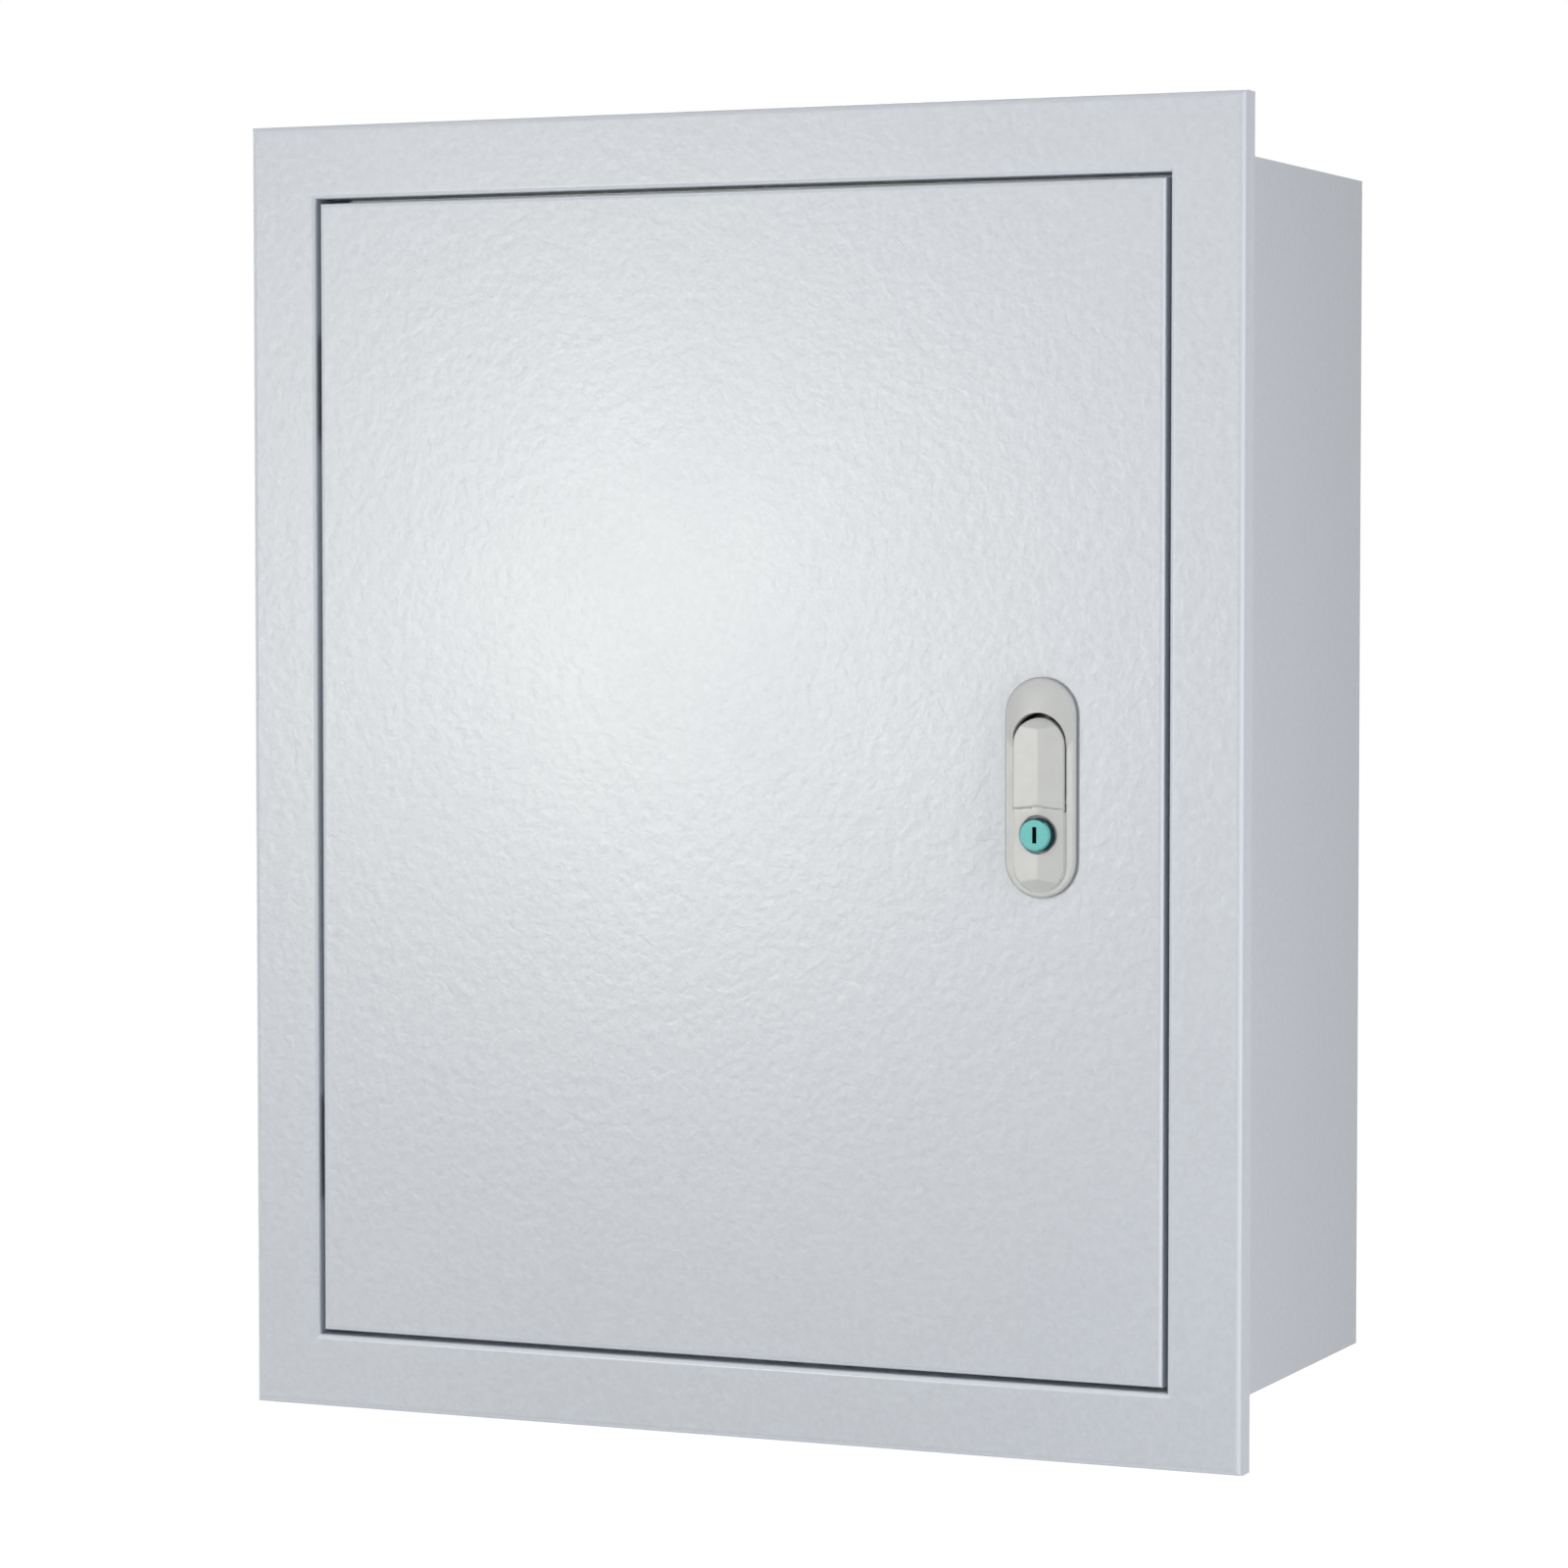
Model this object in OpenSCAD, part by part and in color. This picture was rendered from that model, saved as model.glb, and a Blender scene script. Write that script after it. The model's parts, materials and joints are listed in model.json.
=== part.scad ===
// Flush steel wall enclosure: a folded body let into the wall, a mitred trim frame
// that covers the edge of the niche, and an inset door on concealed pin hinges with
// an oval pull lock. Millimetres. X is to the right, Y into the wall, Z up, and the
// origin is the middle of the wall fixing holes, on the outside of the back wall.

/* [Body] */
// Width of the body that stands in the wall
body_w = 400; // [340:10:600]
// Height of the body
body_h = 500; // [430:10:800]
// Depth of the body
body_d = 200; // [150:5:300]
// Thickness of the body, frame and door sheet
sheet_t = 1.5; // [1.3:0.1:1.7]
// Outer radius of the body's folds
body_fold_r = 2.5; // [2:0.1:3]
// Width of the flange turned in round the mouth of the body
body_flange_w = 24; // [23:0.5:25]
// Diameter of the four wall fixing holes
wall_hole_d = 9; // [6:0.5:10]
// Distance of the wall fixing holes from the body's edges
wall_hole_in = 45; // [43:0.5:47]

/* [Cable entries] */
// Diameter of each knock-out
knockout_d = 28.5; // [20:0.5:32]
// Number of knock-outs in the top and in the bottom
knockout_count = 5; // [3:1:5]
// Distance between neighbouring knock-outs
knockout_pitch = 60; // [45:1:62]
// Distance of the knock-outs behind the body's front
knockout_back = 80; // [50:1:110]
// Width of the cut round a knock-out
knockout_cut = 0.6; // [0.5:0.1:1]
// Width of the two webs that hold a knock-out
knockout_web = 3; // [2:0.5:4]

/* [Trim frame] */
// How far the trim frame stands past the body all round
trim_overhang = 20; // [18:0.5:24]
// Width of the frame's flat face
trim_face_w = 30.7; // [29:0.1:34]
// Depth of the return round the frame's outer edge
trim_return = 11; // [8:0.5:14]
// Outer radius of the fold at the outer edge
trim_fold_r = 2.6; // [2:0.1:3]
// Outer radius of the fold at the door opening
trim_inner_r = 2; // [1.8:0.1:2.4]
// Depth of the rebate that the door closes into
rebate_d = 18.5; // [18:0.1:20]
// Width of the channel between the rebate wall and the lip
gutter_w = 21.5; // [21:0.1:22.5]
// Distance of the frame screws from the frame's outer edge
frame_screw_in = 37; // [36.5:0.1:37.5]
// Distance between the two screws in each stile
stile_screw_pitch = 200; // [150:5:240]
// Distance between the two screws in each rail
rail_screw_pitch = 240; // [150:5:250]

/* [Door] */
// Gap between the door and the frame
door_gap = 2; // [1.8:0.1:2.4]
// Depth of the door's folded edge
door_d = 12; // [10:0.5:12]
// Outer radius of the door's folds
door_fold_r = 2; // [1.8:0.1:2.4]
// Width of the foamed gasket
gasket_w = 10; // [8:0.5:10]
// Thickness of the foamed gasket
gasket_t = 4.2; // [3:0.1:5]

/* [Hinges] */
// Distance of the hinge axis from the door's edge
hinge_axis_in = 8; // [7.6:0.1:8.2]
// Radius of the hinge barrels
hinge_barrel_r = 3.2; // [3:0.1:3.4]
// Radius of the hinge pins
hinge_pin_r = 2; // [1.5:0.1:2.2]
// Height of each hinge
hinge_h = 40; // [32:1:50]
// Distance of the hinges from the top and bottom of the door
hinge_end = 77; // [50:1:90]

/* [Mounting plate] */
// Thickness of the mounting plate
plate_t = 2; // [1.5:0.1:3]
// Depth of the plate's folded edges
plate_fold = 12; // [8:0.5:15]
// Side of the square notch in each corner
plate_notch = 24; // [22:0.5:26]
// Length of the spacers behind the plate
spacer_l = 22; // [18:1:60]
// Distance of the studs from the plate's sides
plate_stud_in = 15; // [12:0.5:20]
// Distance of the studs from the plate's top and bottom
plate_stud_down = 35; // [33:0.5:60]

/* [Lock] */
// Distance of the lock from the door's free edge
lock_in = 50.8; // [48:0.1:60]
// Distance of the lock's middle below the door's middle
lock_drop = 1.6; // [0:0.1:60]
// Width of the oval bezel
bezel_w = 30; // [29:0.1:32]
// Height of the oval bezel
bezel_h = 87.5; // [86:0.5:92]
// Thickness of the bezel's rim
bezel_t = 2.6; // [2.5:0.1:3]
// Height of the domed head above the door
head_h = 5.8; // [5:0.1:6.5]
// Height of the crowned lever above the door
crown_h = 5.2; // [4.8:0.1:5.4]
// Width of the lever
lever_w = 21.1; // [20:0.1:21.4]
// Finger gap over the tip of the lever
finger_gap = 2; // [1.8:0.1:3]
// Diameter of the key rotor's face
key_d = 13; // [12:0.1:13.5]
// How far the key rotor stands out from the door
key_h = 8.6; // [7:0.1:10]
// Distance of the key rotor below the lock's middle
key_drop = 18.4; // [18:0.1:19]
// Length of the cam from the rotor's axis to its tip
cam_l = 36.5; // [35:0.1:37.5]
// Thickness of the cam
cam_t = 3; // [2:0.1:4]

/* [Fits] */
// Radial clearance of a running fit
run_fit = 0.05; // [0.02:0.01:0.08]
// Gap between parts that pass or rest near each other
part_gap = 0.3; // [0.25:0.05:0.4]

/* [Hidden] */
$fn = 64;

// Finishes
PAINT = [0.80, 0.82, 0.84];
LOCK_PAINT = [0.83, 0.83, 0.81];
ZINC = [0.72, 0.73, 0.74];
GALVANISED = [0.66, 0.68, 0.70];
FOAM = [0.16, 0.16, 0.17];
BRASS = [0.80, 0.66, 0.36];
TEAL = [0.32, 0.72, 0.70];

// Depths, counted from the front face
body_y = rebate_d + sheet_t;
overall_d = body_y + body_d;
back_y = overall_d - sheet_t;
gutter_end = trim_face_w + gutter_w + sheet_t;
lip_y = sheet_t + gasket_t + part_gap;

// Frame and door outlines
frame_w = body_w + 2 * trim_overhang;
frame_h = body_h + 2 * trim_overhang;
mouth_w = frame_w - 2 * gutter_end;
mouth_h = frame_h - 2 * gutter_end;
door_w = frame_w - 2 * (trim_face_w + door_gap);
door_h = frame_h - 2 * (trim_face_w + door_gap);
door_skin_y = sheet_t;

// Hinges
barrel_clear = 0.5;
knuckle_gap = 0.4;
hinge_x = -door_w / 2 + hinge_axis_in;
hinge_y = door_skin_y + barrel_clear + hinge_barrel_r;
hinge_z = door_h / 2 - hinge_end;
middle_knuckle_h = hinge_h / 2;
notch_clear = 2;
bracket_t = 2.5;
bracket_foot_t = 3;
bracket_foot_in = 9;
leaf_t = 1.5;
leaf_half_w = 6.4;
hinge_head_r = 3;
hinge_head_h = 1.2;
hinge_head_gap = 0.1;

// M5 frame screws
m5_r = 2.5;
m5_clear_r = 2.75;
m5_head_r = 5;
m5_head_h = 2.2;
m5_length = 12;
m5_nut_af = 8;
m5_nut_h = 4;
driver_slot_w = 1;
driver_slot_l = 4.6;
driver_slot_d = 1.2;

// M6 studs
m6_r = 3;
m6_clear_r = 3.3;
m6_nut_af = 10;
m6_nut_h = 5;
m6_washer_r = 6.2;
m6_washer_t = 1.6;
m6_tail = 4;
thread_gap = 0.05;

// Mounting plate
plate_clear = 1.3;
plate_w = mouth_w - 2 * plate_clear;
plate_h = mouth_h - 2 * plate_clear;
plate_y = back_y - spacer_l - plate_t;
spacer_r = 6;
stud_x = plate_w / 2 - plate_stud_in;
stud_z = plate_h / 2 - plate_stud_down;
earth_x = -(body_w / 2 - 18);
earth_z = -(body_h / 2 - 50);
earth_l = 24;
door_earth_x = hinge_x + 24;
door_earth_z = -(door_h / 2 - 34);
door_earth_l = 16;

// Body panels
panel_tab_h = 12;
tab_end = body_fold_r + 1;

// Lock, counted from the lock's middle
lock_x = door_w / 2 - lock_in;
bezel_bevel = 0.9;
spigot_wall = 2;
spigot_d = 8;
cutout_clear = 0.3;
side_gap = 0.45;
pocket_w = lever_w + 2 * side_gap;
spigot_w = pocket_w + 2 * spigot_wall;
spigot_h = bezel_h - 5.5;
pocket_floor = 6.5;
pocket_top = bezel_h / 2 - 14;
pocket_bottom = -(key_drop - 8.5);
lever_tip = pocket_top - finger_gap;
pivot_y = -1.2;
pivot_r = crown_h + pivot_y + 0.1;
pivot_z = pocket_bottom + pivot_r + 0.4;
lever_pin_r = 1;
lever_back = 0.8;
lever_seam = 0.15;
crown_drop = 0.8;
crown_end = -(bezel_h / 2 - 2.5);
head_r = 40;
head_z = lever_tip - 0.7;
key_z = -key_drop;
key_r = key_d / 2;
key_seat_y = 3;
key_shaft_r = 5;
lock_barrel_r = 9;
cam_y = body_y + part_gap;
lock_barrel_y = cam_y - 0.8;
cam_square = 6.6;
cam_hub_r = 8;
cam_w = 13;
cam_washer_t = 1;
clamp_t = 2;
clamp_leg_gap = 2;
clamp_screw_z = spigot_h / 2 - 5.5;
m4_r = 2;
m4_clear_r = 2.2;
m4_head_r = 3.5;
m4_head_h = 2.4;
m4_grip = 8;

// Lever spring
spring_wire_r = 0.4;
spring_r = 2;
spring_turns = 5;
spring_pitch = 1;
spring_steps = 16;
spring_sides = 8;
spring_cavity_r = spring_r + spring_wire_r + 0.4;
spring_half = spring_turns * spring_pitch / 2;
spring_leg_z = 9;

// ---- helpers -------------------------------------------------------------------

// Everything below is drawn with y = 0 on the front face
module from_front() {
    translate([0, -overall_d, 0]) children();
}

module at_lock() {
    from_front() translate([lock_x, 0, -lock_drop]) children();
}

module both_sides() {
    children();
    mirror([1, 0, 0]) children();
}

module four_ways(dx, dz) {
    for (sx = [-1, 1], sz = [-1, 1])
        translate([sx * dx, 0, sz * dz]) children();
}

// A round bar along Y
module y_bar(r, y0, y1) {
    translate([0, y0, 0]) rotate([-90, 0, 0]) cylinder(r = r, h = y1 - y0);
}

// A shape drawn in X and Z, extruded along Y
module y_prism(y0, y1) {
    translate([0, y1, 0]) rotate([90, 0, 0]) linear_extrude(y1 - y0) children();
}

// A shape drawn in Y and Z, extruded along X, centred
module x_prism(width) {
    translate([-width / 2, 0, 0]) rotate([90, 0, 90]) linear_extrude(width) children();
}

module stadium(w, h) {
    square([w, h - w], center = true);
    for (s = [-1, 1]) translate([0, s * (h - w) / 2]) circle(d = w);
}

module rounded_rect(w, h, r) {
    square([w - 2 * r, h], center = true);
    square([w, h - 2 * r], center = true);
    for (sx = [-1, 1], sy = [-1, 1])
        translate([sx * (w / 2 - r), sy * (h / 2 - r)]) circle(r = r);
}

// Section of a sheet bent through a right angle, outer corner on the origin
module quarter_bend(r) {
    difference() {
        intersection() {
            translate([r, r]) circle(r = r);
            square(r);
        }
        translate([r, r]) circle(r = r - sheet_t);
    }
}

// A folded strip with its outer edge on x = 0, running along Z, mitred at both ends;
// the child is its section in x and y
module mitred_strip(length, reach, depth) {
    over = 1;
    intersection() {
        translate([0, 0, -length / 2]) linear_extrude(length) children();
        y_prism(-over, depth + over) polygon([
            [0, -length / 2], [0, length / 2],
            [reach + over, length / 2 - reach - over],
            [reach + over, -length / 2 + reach + over]
        ]);
    }
}

module hex_nut(af, height, bore_r) {
    rotate([-90, 0, 0]) difference() {
        cylinder(r = af / 2 / cos(30), h = height, $fn = 6);
        translate([0, 0, -1]) cylinder(r = bore_r, h = height + 2);
    }
}

module washer(outer_r, bore_r, t) {
    difference() {
        y_bar(outer_r, 0, t);
        y_bar(bore_r, -1, t + 1);
    }
}

// A low domed screw, its head's seat on y = 0 and its shank towards +Y
module low_screw(r, head_r, head_h, length) {
    dome_r = (head_r * head_r + head_h * head_h) / (2 * head_h);
    difference() {
        union() {
            intersection() {
                translate([0, dome_r - head_h, 0]) sphere(r = dome_r);
                y_bar(head_r, -head_h, 0);
            }
            y_bar(r, 0, length);
        }
        for (turn = [0, 90]) rotate([0, turn, 0])
            translate([-driver_slot_l / 2, -head_h - 1, -driver_slot_w / 2])
                cube([driver_slot_l, 1 + driver_slot_d, driver_slot_w]);
    }
}

// ---- body ----------------------------------------------------------------------

// Where the frame screws pass, in each stile and each rail
module at_frame_screws() {
    for (sx = [-1, 1], sz = [-1, 1]) {
        translate([sx * (frame_w / 2 - frame_screw_in), 0, sz * stile_screw_pitch / 2])
            children();
        translate([sx * rail_screw_pitch / 2, 0, sz * (frame_h / 2 - frame_screw_in)])
            children();
    }
}

module frame_screw_holes() {
    at_frame_screws() y_bar(m5_clear_r, rebate_d - 1, body_y + sheet_t + 1);
}

// Half the plan of the body: flange, side wall and half the back
module shell_half_section() {
    translate([body_w / 2 - body_flange_w, body_y])
        square([body_flange_w - body_fold_r, sheet_t]);
    translate([body_w / 2, body_y]) mirror([1, 0]) quarter_bend(body_fold_r);
    translate([body_w / 2 - sheet_t, body_y + body_fold_r])
        square([sheet_t, body_d - 2 * body_fold_r]);
    translate([body_w / 2, overall_d]) rotate(180) quarter_bend(body_fold_r);
    translate([0, back_y]) square([body_w / 2 - body_fold_r, sheet_t]);
}

module body_shell() {
    shell_h = body_h - 2 * sheet_t;
    color(PAINT) from_front() difference() {
        translate([0, 0, -shell_h / 2]) linear_extrude(shell_h) {
            shell_half_section();
            mirror([1, 0]) shell_half_section();
        }
        four_ways(body_w / 2 - wall_hole_in, body_h / 2 - wall_hole_in)
            y_bar(wall_hole_d / 2, back_y - 1, overall_d + 1);
        frame_screw_holes();
    }
}

// The cut round one knock-out, left whole at its two webs
module knockout_slot() {
    difference() {
        cylinder(d = knockout_d, h = sheet_t + 2, center = true);
        cylinder(d = knockout_d - 2 * knockout_cut, h = sheet_t + 4, center = true);
        cube([knockout_d + 2, knockout_web, sheet_t + 4], center = true);
    }
}

// The top of the body: a flat panel with tabs folded down inside the shell
module end_panel() {
    panel_z = body_h / 2 - sheet_t;
    flange_w = body_w - 2 * body_flange_w;
    difference() {
        union() {
            translate([0, body_y + body_d / 2, panel_z])
                linear_extrude(sheet_t) rounded_rect(body_w, body_d, body_fold_r);
            both_sides() translate([
                body_w / 2 - 2 * sheet_t, body_y + tab_end, panel_z - panel_tab_h
            ]) cube([sheet_t, body_d - 2 * tab_end, panel_tab_h]);
            translate([
                -body_w / 2 + tab_end + sheet_t, back_y - sheet_t, panel_z - panel_tab_h
            ]) cube([body_w - 2 * (tab_end + sheet_t), sheet_t, panel_tab_h]);
            translate([-flange_w / 2, body_y, body_h / 2 - body_flange_w])
                cube([flange_w, sheet_t, body_flange_w - sheet_t]);
        }
        frame_screw_holes();
        for (i = [0 : knockout_count - 1]) translate([
            (i - (knockout_count - 1) / 2) * knockout_pitch,
            body_y + knockout_back, panel_z + sheet_t / 2
        ]) knockout_slot();
    }
}

module top_panel() {
    color(PAINT) from_front() end_panel();
}

module bottom_panel() {
    color(PAINT) from_front() mirror([0, 0, 1]) end_panel();
}

// ---- trim frame ----------------------------------------------------------------

// Section of the frame from its outer return to the lip round the mouth
module trim_section() {
    quarter_bend(trim_fold_r);
    translate([0, trim_fold_r]) square([sheet_t, trim_return - trim_fold_r]);
    translate([trim_fold_r, 0]) square([trim_face_w - trim_fold_r - trim_inner_r, sheet_t]);
    translate([trim_face_w, 0]) mirror([1, 0]) quarter_bend(trim_inner_r);
    translate([trim_face_w - sheet_t, trim_inner_r])
        square([sheet_t, body_y - trim_inner_r]);
    translate([trim_face_w - sheet_t, rebate_d]) square([gutter_w + 2 * sheet_t, sheet_t]);
    translate([trim_face_w + gutter_w, lip_y]) square([sheet_t, body_y - lip_y]);
}

module trim_member(length) {
    mitred_strip(length, gutter_end, body_y) trim_section();
}

module frame_stile() {
    difference() {
        translate([-frame_w / 2, 0, 0]) trim_member(frame_h);
        frame_screw_holes();
    }
}

module frame_rail() {
    difference() {
        translate([0, 0, frame_h / 2]) rotate([0, 90, 0]) trim_member(frame_w);
        frame_screw_holes();
    }
}

module frame_hinge_stile() {
    color(PAINT) from_front() frame_stile();
}

module frame_lock_stile() {
    color(PAINT) from_front() mirror([1, 0, 0]) frame_stile();
}

module frame_top_rail() {
    color(PAINT) from_front() frame_rail();
}

module frame_bottom_rail() {
    color(PAINT) from_front() mirror([0, 0, 1]) frame_rail();
}

module frame_screws() {
    color(ZINC) from_front() at_frame_screws()
        translate([0, rebate_d, 0]) low_screw(m5_r, m5_head_r, m5_head_h, m5_length);
}

module frame_nuts() {
    color(ZINC) from_front() at_frame_screws()
        translate([0, body_y + sheet_t, 0]) hex_nut(m5_nut_af, m5_nut_h, m5_r + thread_gap);
}

// ---- hinges --------------------------------------------------------------------

module at_hinge(level) {
    from_front() translate([hinge_x, hinge_y, level * hinge_z]) children();
}

// The fixed half: a middle knuckle on an arm that stands on the frame's channel
module hinge_bracket() {
    arm_y = rebate_d - hinge_y;
    foot_h = hinge_h - 2;
    difference() {
        union() {
            cylinder(r = hinge_barrel_r, h = middle_knuckle_h, center = true);
            translate([hinge_barrel_r - bracket_t, 0, -middle_knuckle_h / 2])
                cube([bracket_t, arm_y, middle_knuckle_h]);
            translate([-bracket_foot_in, arm_y - bracket_foot_t, -foot_h / 2])
                cube([bracket_foot_in + hinge_barrel_r, bracket_foot_t, foot_h]);
        }
        cylinder(r = hinge_pin_r + run_fit, h = hinge_h, center = true);
    }
}

module upper_hinge_bracket() {
    color(ZINC) at_hinge(1) hinge_bracket();
}

module lower_hinge_bracket() {
    color(ZINC) at_hinge(-1) hinge_bracket();
}

// The moving half: two knuckles on a plate welded inside the door
module hinge_leaf() {
    cut_h = middle_knuckle_h + 2 * knuckle_gap;
    seat = door_skin_y - hinge_y;
    difference() {
        union() {
            cylinder(r = hinge_barrel_r, h = hinge_h, center = true);
            translate([-leaf_half_w, seat, -hinge_h / 2])
                cube([2 * leaf_half_w, leaf_t, hinge_h]);
            translate([-hinge_barrel_r, seat, -hinge_h / 2])
                cube([2 * hinge_barrel_r, -seat, hinge_h]);
        }
        translate([-leaf_half_w - 1, seat - 1, -cut_h / 2])
            cube([leaf_half_w + 1 + hinge_barrel_r + knuckle_gap, 3 * hinge_barrel_r, cut_h]);
        cylinder(r = hinge_pin_r + run_fit, h = hinge_h + 2, center = true);
    }
}

module upper_hinge_leaf() {
    color(ZINC) at_hinge(1) hinge_leaf();
}

module lower_hinge_leaf() {
    color(ZINC) at_hinge(-1) hinge_leaf();
}

module hinge_pins() {
    color(ZINC) for (level = [-1, 1]) at_hinge(level) {
        translate([0, 0, -hinge_h / 2 - 1]) cylinder(r = hinge_pin_r, h = hinge_h + 2);
        translate([0, 0, hinge_h / 2 + hinge_head_gap])
            cylinder(r = hinge_head_r, h = hinge_head_h);
    }
}

// ---- mounting plate and earthing -------------------------------------------------

module mounting_plate() {
    color(GALVANISED) from_front() difference() {
        union() {
            y_prism(plate_y, plate_y + plate_t) square([plate_w, plate_h], center = true);
            both_sides() translate([plate_w / 2 - plate_t, plate_y, -plate_h / 2])
                cube([plate_t, plate_t + plate_fold, plate_h]);
        }
        four_ways(plate_w / 2, plate_h / 2) translate([0, plate_y, 0])
            cube([2 * plate_notch, 4 * plate_fold, 2 * plate_notch], center = true);
        four_ways(stud_x, stud_z) y_bar(m6_clear_r, plate_y - 1, plate_y + plate_t + 1);
    }
}

module plate_studs() {
    stud_end = plate_y - m6_washer_t - m6_nut_h - m6_tail;
    color(ZINC) from_front() four_ways(stud_x, stud_z) y_bar(m6_r, stud_end, back_y);
}

module plate_spacers() {
    color(ZINC) from_front() four_ways(stud_x, stud_z)
        translate([0, plate_y + plate_t, 0]) washer(spacer_r, m6_clear_r, spacer_l);
}

module plate_washers() {
    color(ZINC) from_front() four_ways(stud_x, stud_z)
        translate([0, plate_y - m6_washer_t, 0])
            washer(m6_washer_r, m6_clear_r, m6_washer_t);
}

module plate_nuts() {
    color(ZINC) from_front() four_ways(stud_x, stud_z)
        translate([0, plate_y - m6_washer_t - m6_nut_h, 0])
            hex_nut(m6_nut_af, m6_nut_h, m6_r + thread_gap);
}

// Washers and nuts in turn on an earth stud, from its root at y = 0 towards -Y
module earth_washer_pair() {
    for (i = [1, 2]) translate([0, -i * m6_washer_t - (i - 1) * m6_nut_h, 0])
        washer(m6_washer_r, m6_clear_r, m6_washer_t);
}

module earth_nut_pair() {
    for (i = [1, 2]) translate([0, -i * (m6_washer_t + m6_nut_h), 0])
        hex_nut(m6_nut_af, m6_nut_h, m6_r + thread_gap);
}

module at_earth() {
    from_front() translate([earth_x, back_y, earth_z]) children();
}

module earth_stud() {
    color(BRASS) at_earth() y_bar(m6_r, -earth_l, 0);
}

module earth_washers() {
    color(BRASS) at_earth() earth_washer_pair();
}

module earth_nuts() {
    color(BRASS) at_earth() earth_nut_pair();
}

module at_door_earth() {
    from_front() translate([door_earth_x, door_skin_y, door_earth_z])
        rotate([0, 0, 180]) children();
}

module door_earth_stud() {
    color(BRASS) at_door_earth() y_bar(m6_r, -door_earth_l, 0);
}

module door_earth_washers() {
    color(BRASS) at_door_earth() earth_washer_pair();
}

module door_earth_nuts() {
    color(BRASS) at_door_earth() earth_nut_pair();
}

// ---- door ----------------------------------------------------------------------

// Plan of a tray with its two front corners rounded, open side towards +Y
module tray_section(w, d, r) {
    translate([-w / 2, r]) square([w, d - r]);
    translate([-w / 2 + r, 0]) square([w - 2 * r, 2 * r]);
    for (s = [-1, 1]) translate([s * (w / 2 - r), r]) circle(r = r);
}

// A solid block with its four front edges rounded and its corners mitred
module tray_block(w, h, d, r) {
    intersection() {
        translate([0, 0, -h / 2]) linear_extrude(h) tray_section(w, d, r);
        translate([-w / 2, 0, 0]) rotate([0, 90, 0]) linear_extrude(w)
            tray_section(h, d, r);
    }
}

module door_panel() {
    notch_h = hinge_h + 2 * notch_clear;
    color(PAINT) from_front() difference() {
        tray_block(door_w, door_h, door_d, door_fold_r);
        translate([0, sheet_t, 0]) tray_block(
            door_w - 2 * sheet_t, door_h - 2 * sheet_t, door_d, door_fold_r - sheet_t
        );
        for (level = [-1, 1])
            translate([-door_w / 2 - 1, sheet_t, level * hinge_z - notch_h / 2])
                cube([1 + door_fold_r + part_gap, door_d, notch_h]);
        translate([lock_x, 0, -lock_drop]) y_prism(-1, sheet_t + 1)
            stadium(spigot_w + 2 * cutout_clear, spigot_h + 2 * cutout_clear);
    }
}

module door_gasket() {
    mid_w = mouth_w + sheet_t;
    mid_h = mouth_h + sheet_t;
    color(FOAM) from_front() y_prism(door_skin_y, door_skin_y + gasket_t) difference() {
        rounded_rect(mid_w + gasket_w, mid_h + gasket_w, 8);
        rounded_rect(mid_w - gasket_w, mid_h - gasket_w, 2);
    }
}

// ---- lock ----------------------------------------------------------------------

// An oval plate on the door's face with its front edge bevelled
module bevelled_oval(w, h, t, bevel) {
    y_prism(-(t - bevel), 0) stadium(w, h);
    translate([0, -(t - bevel), 0]) {
        for (s = [-1, 1]) translate([0, 0, s * (h - w) / 2]) rotate([90, 0, 0])
            cylinder(r1 = w / 2, r2 = w / 2 - bevel, h = bevel);
        translate([0, 0, -(h - w) / 2]) linear_extrude(h - w) polygon([
            [-w / 2, 0], [w / 2, 0], [w / 2 - bevel, -bevel], [-w / 2 + bevel, -bevel]
        ]);
    }
}

// The crowned section, in x and y, that the lever and the bezel's foot share
module crown_section(back) {
    edge_y = -(crown_h - crown_drop);
    polygon([
        [-lever_w / 2, back], [-lever_w / 2, edge_y], [0, -crown_h],
        [lever_w / 2, edge_y], [lever_w / 2, back]
    ]);
}

// The bezel's foot below the lever, crowned as the lever is; the pocket trims its top
module bezel_foot() {
    round_z = crown_end + lever_w / 2;
    top_z = pivot_z + 1;
    intersection() {
        y_prism(-crown_h - 1, 1) {
            translate([0, round_z]) circle(d = lever_w);
            translate([-lever_w / 2, round_z]) square([lever_w, top_z - round_z]);
        }
        translate([0, 0, crown_end]) linear_extrude(top_z - crown_end) crown_section(1);
        x_prism(lever_w + 2) polygon([
            [1, top_z], [-crown_h - 1, top_z], [-crown_h - 1, crown_end + 5],
            [-crown_h, crown_end + 5], [-bezel_t, crown_end], [1, crown_end]
        ]);
    }
}

// The pocket of the lever; its foot is round and hugs the lever's barrel
module lever_pocket() {
    y_prism(-2 * head_h, pocket_floor) {
        translate([0, pocket_top - pocket_w / 2]) circle(d = pocket_w);
        translate([-pocket_w / 2, pivot_z])
            square([pocket_w, pocket_top - pocket_w / 2 - pivot_z]);
    }
    translate([0, pivot_y, pivot_z]) rotate([0, 90, 0])
        cylinder(r = pivot_r + lever_seam, h = pocket_w, center = true);
}

module bezel_head() {
    intersection() {
        translate([0, head_r - head_h, head_z]) sphere(r = head_r);
        y_prism(-head_h - 1, 0) difference() {
            stadium(bezel_w - 2 * bezel_bevel, bezel_h - 2 * bezel_bevel);
            translate([-bezel_w, -bezel_h]) square([2 * bezel_w, bezel_h]);
        }
    }
}

module at_clamp_screws() {
    for (s = [-1, 1]) translate([0, 0, s * clamp_screw_z]) children();
}

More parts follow.
